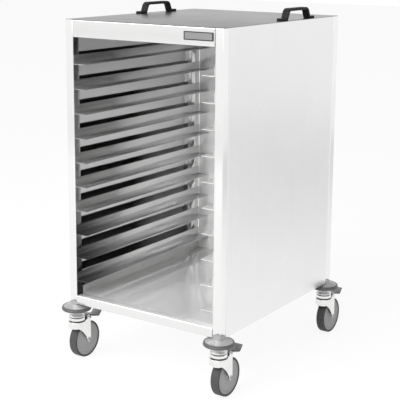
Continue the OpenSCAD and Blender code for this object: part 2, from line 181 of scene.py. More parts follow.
class Bench:
    """Modelling steps with Blender's own tools, in millimetres of the shared frame."""

    @staticmethod
    def clear() -> None:
        """Leave edit mode and deselect everything."""
        if bpy.context.object and bpy.context.object.mode != "OBJECT":
            bpy.ops.object.mode_set(mode="OBJECT")
        bpy.ops.object.select_all(action="DESELECT")

    @staticmethod
    def pick(piece: Piece) -> None:
        """Make one piece the only selected and active one.

        Args:
            piece: The piece.
        """
        Bench.clear()
        piece.select_set(True)
        bpy.context.view_layer.objects.active = piece

    @staticmethod
    def settle(piece: Piece) -> Piece:
        """Put a piece's place, turn and size into its mesh.

        Args:
            piece: The piece.

        Returns:
            The same piece.
        """
        Bench.pick(piece)
        bpy.ops.object.transform_apply(location=True, rotation=True, scale=True)
        return piece

    @staticmethod
    def face_out() -> None:
        """Turn all faces of the mesh that is in edit mode outwards, and leave edit mode."""
        bpy.ops.mesh.select_all(action="SELECT")
        bpy.ops.mesh.normals_make_consistent(inside=False)
        Bench.clear()

    @staticmethod
    def block(name: str, low: Place, high: Place) -> Piece:
        """Add a box between two corners.

        Args:
            name: The piece's name.
            low: Lowest corner in mm.
            high: Highest corner in mm.

        Returns:
            The box, with its place in its mesh.
        """
        Bench.clear()
        bpy.ops.mesh.primitive_cube_add(size=1.0)
        piece = bpy.context.object
        piece.name = name
        piece.location = [(a + b) / 2 * MM for a, b in zip(low, high)]
        piece.scale = [(b - a) * MM for a, b in zip(low, high)]
        return Bench.settle(piece)

    @staticmethod
    def line(name: str, points: list[Place], closed: bool) -> Piece:
        """Draw a line by extruding one vertex from point to point, and leave it in edit mode.

        Args:
            name: The piece's name.
            points: The points in mm.
            closed: Whether to join the ends and fill the outline with a face.

        Returns:
            The piece, still in edit mode with everything selected.
        """
        Bench.clear()
        places = [Vector(p) * MM for p in points]
        bpy.ops.mesh.primitive_plane_add(size=0.01)
        piece = bpy.context.object
        piece.name = name
        bpy.ops.object.mode_set(mode="EDIT")
        bpy.ops.mesh.select_all(action="SELECT")
        bpy.ops.mesh.merge(type="CENTER")
        bpy.ops.transform.translate(value=places[0])
        for here, there in zip(places, places[1:]):
            bpy.ops.mesh.extrude_vertices_move(TRANSFORM_OT_translate={"value": there - here})
        bpy.ops.mesh.select_all(action="SELECT")
        if closed:
            bpy.ops.mesh.edge_face_add()
        return piece

    @staticmethod
    def sweep(name: str, outline: list[Point], axis: Axis, start: float, end: float) -> Piece:
        """Extrude a closed outline along an axis.

        Args:
            name: The piece's name.
            outline: Corners in the plane of the other two axes, in frame order.
            axis: The direction of the extrusion.
            start: Where it starts along the axis, in mm.
            end: Where it ends.

        Returns:
            The closed solid.
        """
        def lift(point: Point) -> Place:
            """Put a point of the outline in the starting plane.

            Args:
                point: The point in the plane of the other two axes.

            Returns:
                The point in the frame.
            """
            values = list(point)
            values.insert(axis.value, start)
            return (values[0], values[1], values[2])

        piece = Bench.line(name, [lift(p) for p in outline], closed=True)
        way = Vector(ORIGIN)
        way[axis.value] = (end - start) * MM
        bpy.ops.mesh.extrude_region_move(TRANSFORM_OT_translate={"value": way})
        Bench.face_out()
        return piece

    @staticmethod
    def turned(name: str, profile: list[Point], axis: Axis = Axis.Z, centre: Place = ORIGIN,
               steps: int = 48) -> Piece:
        """Spin a profile round an axis.

        Args:
            name: The piece's name.
            profile: (radius, height along the axis) points in mm; closed unless both ends are on the axis.
            axis: The axis it turns about.
            centre: The point of that axis from which heights are measured, in mm.
            steps: Number of steps round.

        Returns:
            The closed solid.
        """
        def lift(point: Point) -> Place:
            """Put a point of the profile beside the axis.

            Args:
                point: Its radius, and its height along the axis.

            Returns:
                The point in the frame.
            """
            values = list(centre)
            values[axis.value] += point[1]
            values[(axis.value + 1) % 3] += point[0]
            return (values[0], values[1], values[2])

        on_axis = profile[0][0] == profile[-1][0] == 0.0
        points = [lift(p) for p in profile]
        piece = Bench.line(name, points if on_axis else points + points[:1], closed=False)
        bpy.ops.mesh.remove_doubles(threshold=TOUCH)
        bpy.ops.mesh.select_all(action="SELECT")
        way = [1.0 if i == axis.value else 0.0 for i in range(3)]
        bpy.ops.mesh.spin(steps=steps, angle=math.tau, center=[v * MM for v in centre], axis=way)
        bpy.ops.mesh.select_all(action="SELECT")
        bpy.ops.mesh.remove_doubles(threshold=TOUCH)
        Bench.face_out()
        return piece

    @staticmethod
    def soften(piece: Piece, width: float, segments: int = 3, angle: float = 35) -> Piece:
        """Round a piece's sharp edges with a bevel that is then applied.

        Args:
            piece: The piece.
            width: Bevel width in mm.
            segments: Steps in the rounding.
            angle: Least angle between faces, in degrees, that is rounded.

        Returns:
            The same piece.
        """
        Bench.pick(piece)
        bevel = piece.modifiers.new("edge_round", "BEVEL")
        bevel.width = width * MM
        bevel.segments = segments
        bevel.limit_method = "ANGLE"
        bevel.angle_limit = math.radians(angle)
        bevel.harden_normals = False
        bpy.ops.object.modifier_apply(modifier=bevel.name)
        return piece

    @staticmethod
    def cut(piece: Piece, tool: Piece, overlap: Overlap = Overlap.REMOVED) -> Piece:
        """Cut one piece by another, and delete the one that cuts.

        Args:
            piece: The piece that stays.
            tool: The piece that cuts, and is deleted.
            overlap: What becomes of the piece where the tool passes through it.

        Returns:
            The piece.
        """
        Bench.pick(piece)
        step = piece.modifiers.new("cut", "BOOLEAN")
        step.operation = overlap.value
        step.object = tool
        step.solver = "EXACT"
        bpy.ops.object.modifier_apply(modifier=step.name)
        bpy.data.objects.remove(tool)
        return piece

    @staticmethod
    def smooth(piece: Piece, angle: float = PRESSED_CREASE) -> Piece:
        """Shade a piece smooth.

        Args:
            piece: The piece.
            angle: Least angle between faces, in degrees, that stays crisp.

        Returns:
            The same piece.
        """
        Bench.pick(piece)
        bpy.ops.object.shade_smooth_by_angle(angle=math.radians(angle))
        return piece

    @staticmethod
    def join(pieces: list[Piece], name: str) -> Piece:
        """Join several pieces into one object.

        Args:
            pieces: The pieces; the first one takes in the others.
            name: The name of the result.

        Returns:
            The joined piece.
        """
        Bench.pick(pieces[0])
        for piece in pieces[1:]:
            piece.select_set(True)
        if len(pieces) > 1:
            bpy.ops.object.join()
        pieces[0].name = name
        return pieces[0]

    @staticmethod
    def copy(piece: Piece, name: str, move: Place) -> Piece:
        """Copy a finished piece with a mesh of its own.

        Args:
            piece: The pattern.
            name: The copy's name.
            move: How far the copy is moved, in mm.

        Returns:
            The copy.
        """
        Bench.pick(piece)
        bpy.ops.object.duplicate(linked=False)
        twin = bpy.context.object
        twin.name = name
        twin.location = [v * MM for v in move]
        return Bench.settle(twin)

    @staticmethod
    def mirrored(piece: Piece, name: str, axis: Axis) -> Piece:
        """Copy a piece to the other side of the frame's middle plane.

        Args:
            piece: The pattern.
            name: The copy's name.
            axis: The axis that changes sign.

        Returns:
            The copy, with its faces outwards.
        """
        twin = Bench.copy(piece, name, ORIGIN)
        twin.scale[axis.value] = -1.0
        Bench.settle(twin)
        bpy.ops.object.mode_set(mode="EDIT")
        Bench.face_out()
        return twin


class Nodes:
    """The node tree of a material or a world, built by short calls."""

    def __init__(self, owner: Material | bpy.types.World) -> None:
        """Turn the owner's nodes on."""
        owner.use_nodes = True
        self.tree = owner.node_tree

    def feed(self, node: bpy.types.Node, inputs: dict[str | int, float | tuple | Socket]) -> None:
        """Set or link a node's inputs.

        Args:
            node: The node.
            inputs: For each input, by name or number, its value or the socket that feeds it.
        """
        for key, value in inputs.items():
            if isinstance(value, bpy.types.NodeSocket):
                self.tree.links.new(value, node.inputs[key])
            else:
                node.inputs[key].default_value = value

    def add(self, kind: str, inputs: dict[str | int, float | tuple | Socket],
            **options: str) -> bpy.types.bpy_prop_collection:
        """Add a node.

        Args:
            kind: Its type, without the words that all types begin with.
            inputs: Its inputs, as feed takes them.
            options: Its own settings.

        Returns:
            Its outputs.
        """
        node = self.tree.nodes.new("ShaderNode" + kind)
        for key, value in options.items():
            setattr(node, key, value)
        self.feed(node, inputs)
        return node.outputs

    def grain(self, stretch: Place, scale: float, detail: float) -> Socket:
        """Add a noise on object coordinates.

        Args:
            stretch: How much finer the noise is along each axis.
            scale: Noise scale per metre.
            detail: Noise detail.

        Returns:
            The noise's value, around 0.5.
        """
        place = self.add("TexCoord", {})["Object"]
        spot = self.add("Mapping", {"Vector": place, "Scale": stretch})["Vector"]
        return self.add("TexNoise", {"Vector": spot, "Scale": scale, "Detail": detail})["Fac"]

    def span(self, value: Socket, low: float, high: float, ends: Point = (0.3, 0.7),
             blend: Blend = Blend.STEADY) -> Socket:
        """Map a value to a span; the first ends suit a noise's middle range."""
        spans = {"Value": value, "From Min": ends[0], "From Max": ends[1], "To Min": low, "To Max": high}
        return self.add("MapRange", spans, interpolation_type=blend.value)["Result"]

    def around(self, value: Socket, middle: float, spread: float) -> Socket:
        """Map a noise to a spread either way of a middle value."""
        return self.span(value, middle - spread, middle + spread)

    def average(self, first: Socket, second: Socket, share: float) -> Socket:
        """Blend two values, with a share of the second."""
        return self.add("Mix", {"Factor": share, "A": first, "B": second}, data_type="FLOAT")["Result"]

    def combine(self, kind: Sum, first: float | Socket, second: float | Socket) -> Socket:
        """Work out one value from two."""
        return self.add("Math", {0: first, 1: second}, operation=kind.value)[0]

    def relief(self, height: Socket, strength: float, depth: float) -> Socket:
        """Make a surface normal from a height, with the relief's depth in mm."""
        return self.add("Bump", {"Height": height, "Strength": strength, "Distance": depth * MM})["Normal"]


@dataclass(frozen=True)
class Finish:
    """What every finish has: its material's name, its grey, and how much less blue than that it has."""

    name: str
    grey: float
    warm: float = 0.0

    def start(self) -> tuple[Material, Nodes, bpy.types.Node]:
        """Start a material.

        Returns:
            The material, its nodes and its shader.
        """
        material = bpy.data.materials.new(self.name)
        nodes = Nodes(material)
        return material, nodes, nodes.tree.nodes["Principled BSDF"]

    def tint(self, nodes: Nodes, value: Socket, spread: float) -> Socket:
        """Vary the base colour a little with a value.

        Args:
            nodes: The material's nodes.
            value: A value around 0.5.
            spread: Share of the colour by which it varies either way.

        Returns:
            The colour.
        """
        colour = (self.grey, self.grey, self.grey - self.warm)
        ramp = nodes.tree.nodes.new("ShaderNodeValToRGB")
        nodes.feed(ramp, {"Fac": value})
        for element, end, factor in zip(ramp.color_ramp.elements, (0.3, 0.7), (1 - spread, 1 + spread)):
            element.position = end
            element.color = [min(1.0, c * factor) for c in colour] + [1.0]
        return ramp.outputs["Color"]


@dataclass(frozen=True)
class BrushedSteel(Finish):
    """Stainless sheet or tube, brushed along one axis, which may carry painted light and shade as a gradient
    to another grey along an axis.

    The streaks and the bands give their scale per metre across the brushing and along it.
    """

    along: Axis = Axis.Z
    rough: float = 0.28
    uneven: float = 0.06
    scratch: float = 0.15
    metal: float = 1.0
    # Painted light and shade: the grey at the far end of a gradient (0 for none), the span it takes in
    # metres, and its axis.
    worn: float = 0.0
    worn_span: Point = (0.0, 0.3)
    worn_along: Axis = Axis.Y
    streaks: Point = (1100.0, 7.0)
    bands: Point = (60.0, 1.2)
    clouds: float = 7.0
    tone: float = 0.025
    depth: float = 0.03

    def brushing(self, nodes: Nodes, scales: Point, detail: float) -> Socket:
        """Add a noise that is drawn out along the brushing.

        Args:
            nodes: The material's nodes.
            scales: Its scale per metre across the brushing, and along it.
            detail: Noise detail.

        Returns:
            The noise's value, around 0.5.
        """
        stretch = [scales[0]] * 3
        stretch[self.along.value] = scales[1]
        return nodes.grain((stretch[0], stretch[1], stretch[2]), 1.0, detail)

    def wear(self, nodes: Nodes, base: Socket) -> Socket:
        """Paint light and shade: let the colour pass to another grey along one axis.

        Args:
            nodes: The material's nodes.
            base: The colour at the start of the painted gradient.

        Returns:
            The colour.
        """
        place = nodes.add("TexCoord", {})["Object"]
        along = nodes.add("SeparateXYZ", {0: place})[self.worn_along.value]
        reach = nodes.span(along, 0.0, 1.0, self.worn_span, Blend.SOFT)
        bright = (self.worn, self.worn, self.worn, 1.0)
        return nodes.add("Mix", {0: reach, 6: base, 7: bright}, data_type="RGBA")[2]

    def make(self) -> Material:
        """Build the material.

        Returns:
            The material.
        """
        material, nodes, shader = self.start()
        fine = self.brushing(nodes, self.streaks, 2.0)
        mixed = nodes.average(fine, self.brushing(nodes, self.bands, 3.0), 0.45)
        cloud = nodes.grain(EVEN, self.clouds, 4.0)
        colour = self.tint(nodes, nodes.average(mixed, cloud, 0.4), self.tone)
        # Painted light and shade, where a second grey is given.
        if self.worn > 0:
            colour = self.wear(nodes, colour)
        matt = nodes.around(nodes.average(mixed, cloud, 0.5), self.rough, self.uneven)
        nodes.feed(shader, {"Base Color": colour, "Metallic": self.metal, "Roughness": matt,
                            "Normal": nodes.relief(mixed, self.scratch, self.depth)})
        return material


@dataclass(frozen=True)
class PlatedSteel(Finish):
    """Bright zinc plate on a pressed or turned part, with a soft bloom and a fine peel."""

    rough: float = 0.2
    bloom: float = 90.0
    peel: float = 600.0
    tone: float = 0.05
    depth: float = 0.05

    def make(self) -> Material:
        """Build the material.

        Returns:
            The material.
        """
        material, nodes, shader = self.start()
        bloom = nodes.grain(EVEN, self.bloom, 4.0)
        peel = nodes.grain(EVEN, self.peel, 2.0)
        nodes.feed(shader, {"Base Color": self.tint(nodes, bloom, self.tone), "Metallic": 1.0,
                            "Roughness": nodes.span(bloom, self.rough - 0.06, self.rough + 0.08),
                            "Normal": nodes.relief(peel, 0.12, self.depth)})
        return material


@dataclass(frozen=True)
class MouldedPlastic(Finish):
    """Plastic or rubber with a moulded grain."""

    rough: float = 0.5
    grain: float = 900.0
    depth: float = 0.05
    mottle: float = 0.08
    gloss: float = 0.5
    clouds: float = 45.0
    uneven: float = 0.07

    def make(self) -> Material:
        """Build the material.

        Returns:
            The material.
        """
        material, nodes, shader = self.start()
        skin = nodes.grain(EVEN, self.grain, 3.0)
        cloud = nodes.grain(EVEN, self.clouds, 5.0)
        nodes.feed(shader, {"Base Color": self.tint(nodes, nodes.average(skin, cloud, 0.6), self.mottle),
                            "Specular IOR Level": self.gloss,
                            "Roughness": nodes.around(cloud, self.rough, self.uneven),
                            "Normal": nodes.relief(skin, 0.3, self.depth)})
        return material


class Finishes:
    """All the finishes, made once."""

    def __init__(self) -> None:
        """Make every material."""
        steel, zinc, plastic = BrushedSteel, PlatedSteel, MouldedPlastic
        x, y, z = Axis
        self.post = steel("post_steel", 0.89, 0.005, z, rough=0.13, uneven=0.03, scratch=0.04).make()
        self.header = steel("header_steel", 0.85, 0.005, x, rough=0.2, uneven=0.04, scratch=0.04).make()
        self.cladding = steel("cladding_steel", 0.88, 0.0, z, rough=0.26, uneven=0.03, scratch=0.015).make()
        # Painted shade: the side sheets' inner faces are the cladding steel in a darker grey, so the cavities
        # behind the rails read dark.
        self.lining = steel("lining_steel", 0.6, 0.0, y, rough=0.1, uneven=0.03, scratch=0.02).make()
        self.back = steel("back_steel", 0.95, 0.005, z, rough=0.14, uneven=0.03, scratch=0.02,
                          metal=0.22).make()
        # Painted shade and light: the deck is darker near the left wall and passes to a near white grey
        # towards the right.
        self.deck = steel("deck_steel", 0.66, 0.005, y, rough=0.1, uneven=0.03, scratch=0.02, metal=0.46,
                          worn=0.98, worn_span=(-0.27, -0.1), worn_along=x).make()
        # Painted shade: the top sheet's steel is given a dark grey, standing in for the dark reflection it
        # shows.
        self.top = steel("top_steel", 0.165, 0.0, x, rough=0.3, uneven=0.05, scratch=0.05).make()
        # Painted shade and light: the left rails are a darker grey that lightens towards the rear.
        self.ledge = steel("ledge_steel", 0.5, 0.005, y, rough=0.17, uneven=0.04, scratch=0.02, metal=0.78,
                           worn=0.72, worn_span=(-0.4, 0.05)).make()
        # Painted shade: the left rails of the three lowest pairs are darker still, lightening towards the
        # rear.
        self.ledge_low = steel("ledge_low_steel", 0.12, 0.0, y, rough=0.17, uneven=0.04, scratch=0.02,
                               metal=0.78, worn=0.7, worn_span=(-0.4, -0.12)).make()
        # Painted shade: the front-left post's inner face is near black, lightening higher up.
        self.post_inner = steel("post_inner_steel", 0.05, 0.0, z, rough=0.15, uneven=0.03, scratch=0.04,
                                worn=0.42, worn_span=(0.28, 0.62), worn_along=z).make()
        # Painted light: the right rails are a lighter copy of the rail steel.
        self.ledge_bright = steel("ledge_bright_steel", 0.86, 0.005, y, rough=0.2, uneven=0.04, scratch=0.02,
                                  metal=0.5).make()
        # Painted shade: the rails' outer faces, hidden in the cavity, are near black, lightening towards the
        # rear.
        self.rail_rear = steel("rail_rear_steel", 0.03, 0.0, y, rough=0.3, uneven=0.05, scratch=0.04,
                               metal=0.25, worn=1.0, worn_span=(-0.02, 0.17)).make()
        self.tube = steel("tube_steel", 0.68, 0.0, x, rough=0.35).make()
        self.side_tube = steel("side_tube_steel", 0.68, 0.0, y, rough=0.35).make()
        self.rivet = zinc("rivet_steel", 0.7, rough=0.25).make()
        self.handle = plastic("handle_plastic", 0.014, -0.001, grain=1200.0, depth=0.04, mottle=0.2,
                              gloss=0.12).make()
        self.plate = steel("name_plate", 0.36, 0.0, x, rough=0.35, scratch=0.1).make()
        self.plate_rim = steel("name_plate_rim", 0.07, 0.0, x, rough=0.3, uneven=0.05, scratch=0.1).make()
        self.screw = zinc("screw_steel", 0.35, -0.01, rough=0.28).make()
        self.zinc = zinc("fork_zinc", 0.86, 0.01, rough=0.17).make()
        self.race = zinc("race_zinc", 0.78, rough=0.36).make()
        # Painted shade: near black for the fork's inside, its arch edge and the groove under the lower race.
        self.dull = zinc("race_dull", 0.06, rough=0.35).make()
        self.bumper = plastic("bumper_cover", 0.3, rough=0.26, grain=700.0, depth=0.02, mottle=0.05,
                              gloss=0.55).make()
        self.bumper_rim = plastic("bumper_rubber", 0.08, rough=0.4, grain=700.0, depth=0.03,
                                  mottle=0.06).make()
        self.tyre = plastic("tyre_rubber", 0.055, -0.001, rough=0.55, grain=1000.0, depth=0.06, mottle=0.1,
                            gloss=0.3).make()
        self.disc = plastic("wheel_disc", 0.29, rough=0.42, depth=0.03, mottle=0.06).make()
        self.pedal = plastic("pedal_plastic", 0.26, rough=0.38, grain=260.0, depth=0.25, mottle=0.4).make()

    @staticmethod
    def dress(piece: Piece, finish: Material) -> None:
        """Give a piece or a CAD node one material all over."""
        piece.data.materials.clear()
        piece.data.materials.append(finish)

    @staticmethod
    def line_side(piece: Piece, finish: Material, side: Side) -> None:
        """Give a piece's faces that look left or right a second material.

        Args:
            piece: A piece that has its first material.
            finish: The material of those faces.
            side: The way those faces look.
        """
        piece.data.materials.append(finish)
        last = len(piece.data.materials) - 1
        for face in piece.data.polygons:
            if face.normal.x * side.value > FACING:
                face.material_index = last


@dataclass
class Assembly:
    """What every sub-assembly has: the CAD nodes, the finishes, and the trolley's main sizes in mm."""

    nodes: dict[str, Piece]
    finishes: Finishes
    width: float = 600.0
    depth: float = 720.0
    front: float = -391.0
    top: float = 1144.2
    foot: float = 198.0
    post: float = 30.0

    @property
    def middle(self) -> float:
        """Middle of the body along Y."""
        return self.front + self.depth / 2

    @staticmethod
    def fit(piece: Piece, slot: str, finish: Material | None, node: str = "", body: str = "cabinet") -> None:
        """Dress a piece, put it on its body and say what it stands for.

        Args:
            piece: The piece.
            slot: The record's material slot; not used.
            finish: Its material, or None where it has its own.
            node: The CAD node it replaces, if any.
            body: The body it rides on.
        """
        if finish is not None:
            Finishes.dress(piece, finish)
        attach(piece, body)
        if node:
            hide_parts(node)
        LOG.info("%s rides on %s, %d faces", piece.name, body, len(piece.data.polygons))


@dataclass
class Cabinet(Assembly):
    """The posts, sheets and rails of the trolley's body."""

    post_round: float = 3.0
    sheet: float = 1.2
    bend: float = 2.5
    seam: float = 1.2
    fold: float = 14.0
    header_low: float = 1088.2
    header_lip: float = 8.0
    rail_low: float = 200.0
    rail_round: float = 2.5
    deck_low: float = 230.0
    deck_upstand: float = 28.0
    deck_front: float = 1.0
    rivet_front: float = 55.0
    rivet_rear: float = 60.0
    rivet_up: float = 16.0
    first_ledge: float = 283.2
    pitch: float = 80.0
    levels: int = 10
    low_levels: int = 3
    ledge: float = 46.0
    upstand: float = 28.0
    rail_sheet: float = 1.5
    rail_front: float = 1.0

    @property
    def back(self) -> float:
        """Rear face of the posts."""
        return self.front + self.depth

    @property
    def inner(self) -> float:
        """Inner face of the posts, from the middle plane."""
        return self.width / 2 - self.post

    @property
    def reach(self) -> float:
        """End of a sheet that lies between the posts, from the middle plane."""
        return self.inner - self.seam

    @property
    def under_top(self) -> float:
        """Underside of the top sheet."""
        return self.top - self.sheet

    @property
    def rails_back(self) -> float:
        """Rear end of the tray rails and of the deck."""
        return self.back - self.sheet - self.seam

    def channel(self, width: float, depth: float) -> list[Point]:
        """Outline of a bent channel whose web is at the far side of the second axis.

        Args:
            width: Width over the folds, centred on 0.
            depth: Depth of the folds; their free edges are at 0.

        Returns:
            The closed outline.
        """
        line: list[Point] = []
        for half, deep, radius in ((width / 2, depth, self.bend),
                                   (self.sheet - width / 2, depth - self.sheet, self.bend - self.sheet)):
            corners = [(half, 0.0), (half, deep), (-half, deep), (-half, 0.0)]
            line += rounded(corners, [0.0, radius, radius, 0.0], closed=False)
        return line

    def build_posts(self) -> None:
        """Make the four posts as closed forms with round edges, standing on their bumpers."""
        half = self.post / 2
        line = rounded(box_points((-half, -half), (half, half)), [self.post_round] * 4, 6)
        pattern = Bench.sweep("post_pattern", line, Axis.Z, self.foot, self.under_top)
        Bench.soften(pattern, 0.4, segments=2)
        Bench.smooth(pattern, SHEET_CREASE)
        for corner in Corner:
            x = corner.value[0] * (self.width / 2 - half)
            y = self.middle + corner.value[1] * (self.depth / 2 - half)
            tube = Bench.copy(pattern, "post_tube_" + corner.word, (x, y, 0.0))
            self.fit(tube, "frame_steel", self.finishes.post, "post_" + corner.word)
            # The front-left post's inner face takes painted shade.
            if corner is Corner.FRONT_LEFT:
                Finishes.line_side(tube, self.finishes.post_inner, Side.RIGHT)
        bpy.data.objects.remove(pattern)

    def build_header(self) -> None:
        """Make the folded fascia over the opening."""
        mid = (self.under_top + self.header_low) / 2
        rim = self.front + self.post
        line = [(rim - v, mid + u) for u, v in self.channel(self.under_top - self.header_low, self.post)]
        face = Bench.sweep("fascia", line, Axis.X, -self.reach, self.reach)
        lip = Bench.block("fascia_lip", (-self.reach, rim - self.sheet, self.header_low + 0.2),
                          (self.reach, rim - 0.05, self.header_low + self.header_lip))
        Bench.join([face, lip], "fascia")
        self.fit(Bench.smooth(face, SHEET_CREASE), "frame_steel", self.finishes.header, "header")

    def build_front_rail(self) -> None:
        """Make the square rail under the opening."""
        corners = box_points((self.front, self.rail_low), (self.front + self.post, self.deck_low))
        line = rounded(corners, [self.rail_round] * 4)
        rail = Bench.sweep("front_rail_tube", line, Axis.X, -self.inner, self.inner)
        self.fit(Bench.smooth(rail, SHEET_CREASE), "frame_steel", self.finishes.header, "bottom_rail_front")

    def build_sides(self) -> None:
        """Make the two side sheets, with their folded edges and feet."""
        width = self.depth - 2 * (self.post + self.seam)
        skin_x = self.width / 2
        outline = [(skin_x - self.fold + v, self.middle + u) for u, v in self.channel(width, self.fold)]
        right = Bench.sweep("side_sheet_right", outline, Axis.Z, self.foot, self.under_top)
        foot_half = width / 2 - self.sheet
        foot = Bench.block("side_foot", (skin_x - self.fold, self.middle - foot_half, self.foot),
                           (skin_x - self.sheet, self.middle + foot_half, self.foot + self.sheet))
        Bench.join([right, foot], "side_sheet_right")
        Bench.smooth(right, SHEET_CREASE)
        left = Bench.mirrored(right, "side_sheet_left", Axis.X)
        Bench.smooth(left, SHEET_CREASE)
        for side, inward, sheet in ((Side.LEFT, Side.RIGHT, left), (Side.RIGHT, Side.LEFT, right)):
            Finishes.dress(sheet, self.finishes.cladding)
            # Painted shade: the inner faces take a darker grey.
            Finishes.line_side(sheet, self.finishes.lining, inward)
            self.fit(sheet, "panel_steel", None, "side_panel_" + side.word)

    def build_back(self) -> None:
        """Make the back sheet with its folded foot."""
        low, high, far, near = self.foot, self.under_top, self.back, self.back - self.sheet
        tip, floor = far - self.fold, low + self.sheet
        corners = [(tip, low), (far, low), (far, high), (near, high), (near, floor), (tip, floor)]
        line = rounded(corners, [0, self.bend, 0, 0, self.bend - self.sheet, 0])
        back = Bench.sweep("back_sheet", line, Axis.X, -self.reach, self.reach)
        self.fit(Bench.smooth(back, SHEET_CREASE), "panel_steel", self.finishes.back, "back_panel")

    def build_top(self) -> None:
        """Make the top sheet with softly rounded edges."""
        corners = box_points((-self.width / 2, self.front), (self.width / 2, self.back))
        line = rounded(corners, [self.post_round] * 4, 6)
        top = Bench.sweep("top_sheet", line, Axis.Z, self.under_top, self.top)
        Bench.soften(top, 0.55, angle=60)
        # The top sheet's dark grey is painted shade.
        self.fit(Bench.smooth(top, SHEET_CREASE), "top_steel", self.finishes.top, "top_panel")

    def build_deck(self) -> None:
        """Make the deck pan with its bent upstands and the rivets in them."""
        low, high = self.deck_low, self.deck_low + self.sheet + self.deck_upstand
        start = self.front + self.post + self.seam
        line = [(-u, high - v) for u, v in self.channel(2 * self.reach, high - low)]
        pan = Bench.sweep("deck_pan", line, Axis.Y, start, self.rails_back)
        tongue = Bench.block("deck_tongue", (-self.reach, self.front + self.deck_front, low),
                             (self.reach, start, low + self.sheet))
        Bench.soften(tongue, 0.4, segments=2, angle=60)
        Bench.join([pan, tongue], "deck_pan")
        # The deck's steel carries painted shade by the left wall and painted light towards the right.
        self.fit(Bench.smooth(pan, SHEET_CREASE), "panel_steel", self.finishes.deck, "deck")
        head = rounded([(0.0, 1.6), (3.2, 0.9), (3.6, 0.0), (0.0, 0.0)], [0, 1.2, 0, 0], 4, closed=False)
        places = (start + self.rivet_front, self.middle, self.rails_back - self.rivet_rear)
        for side in Side:
            profile = [(r, -side.value * h) for r, h in head]
            x = side.value * (self.reach - self.sheet)
            for count, y in enumerate(places):
                rivet = Bench.turned(f"deck_rivet_{side.word}_{count}", profile, Axis.X,
                                     (x, y, low + self.sheet + self.rivet_up), 20)
                self.fit(Bench.smooth(rivet), "panel_steel", self.finishes.rivet)

    def build_rails(self) -> None:
        """Make the ten pairs of angle rails."""
        inner, sheet, bend, tall = self.inner, self.rail_sheet, self.bend, self.upstand
        tip, face = self.ledge - inner, sheet - inner
        corners = [(-inner, tall), (-inner, -sheet), (tip, -sheet), (tip, 0.0), (face, 0.0), (face, tall)]
        line = rounded(corners, [0, bend, 0, 0, bend - sheet, 0])
        left = Bench.sweep("rail_left", line, Axis.Y, self.front + self.rail_front, self.rails_back)
        Bench.soften(left, 0.35, segments=2, angle=60)
        right = Bench.mirrored(left, "rail_right", Axis.X)
        # Painted shade and light: left rails darker, right rails lighter, their hidden outer faces near
        # black.
        for side, rail, finish in ((Side.LEFT, left, self.finishes.ledge),
                                   (Side.RIGHT, right, self.finishes.ledge_bright)):
            Finishes.dress(rail, finish)
            Finishes.line_side(rail, self.finishes.rail_rear, side)
        pattern = Bench.join([left, right], "rail_pattern")
        Bench.smooth(pattern, SHEET_CREASE)
        for level in range(self.levels):
            number, height = f"{level + 1:02d}", self.first_ledge + level * self.pitch
            pair = Bench.copy(pattern, "rail_pair_" + number, (0.0, 0.0, height))
            # Painted shade: the lowest pairs' left rails take a darker grey.
            if level < self.low_levels:
                pair.data.materials[0] = self.finishes.ledge_low
            self.fit(pair, "tray_rail_steel", None, "tray_rails_" + number)
        bpy.data.objects.remove(pattern)

    def dress_tubes(self) -> None:
        """Give the frame rails behind the sheets their steel."""
        for name in ("bottom_rail_rear", "top_rail_rear"):
            Finishes.dress(self.nodes[name], self.finishes.tube)
        for name in ("bottom_rail_left", "bottom_rail_right", "top_rail_left", "top_rail_right"):
            Finishes.dress(self.nodes[name], self.finishes.side_tube)

    def build(self) -> None:
        """Make the whole cabinet."""
        for step in (self.build_posts, self.build_header, self.build_front_rail, self.build_sides,
                     self.build_back, self.build_top, self.build_deck, self.build_rails, self.dress_tubes):
            step()


@dataclass
class NamePlate(Assembly):
    """The blank plate at the right end of the fascia."""

    right: float = 264.0
    length: float = 104.0
    height: float = 26.0
    thick: float = 2.4
    rim: float = 3.0
    sink: float = 0.8
    corner: float = 2.5
    rim_corner: float = 1.2
    field_corner: float = 1.0
    field_gap: float = 0.2
    field_sink: float = 0.25
    field_rise: float = 0.1
    centre_z: float = 1117.2

    def outline(self, inset: float, radius: float, steps: int) -> list[Point]:
        """Draw the plate's outline, or one inside it.

        Args:
            inset: How far inside the plate's edge the line runs.
            radius: Radius of its corners.
            steps: Chords in each corner.

        Returns:
            The closed outline.
        """
        low = (self.right - self.length + inset, self.centre_z - self.height / 2 + inset)
        high = (self.right - inset, self.centre_z + self.height / 2 - inset)
        return rounded(box_points(low, high), [radius] * 4, steps)

    def build(self) -> None:
        """Make the plate and its sunk field."""
        face = self.front - self.thick
        floor = face + self.sink
        plate = Bench.sweep("name_plate", self.outline(0.0, self.corner, 5), Axis.Y, face, self.front)
        Bench.soften(plate, 0.5, angle=60)
        hollow = self.outline(self.rim, self.rim_corner, 4)
        Bench.cut(plate, Bench.sweep("name_plate_tool", hollow, Axis.Y, face - 1.0, floor))
        self.fit(Bench.smooth(plate, TURNED_CREASE), "badge_plate", self.finishes.plate_rim, "badge")
        line = self.outline(self.rim + self.field_gap, self.field_corner, 4)
        low, high = floor - self.field_sink, floor + self.field_rise
        field = Bench.sweep("name_plate_field", line, Axis.Y, low, high)
        self.fit(Bench.smooth(field, TURNED_CREASE), "badge_plate", self.finishes.plate)


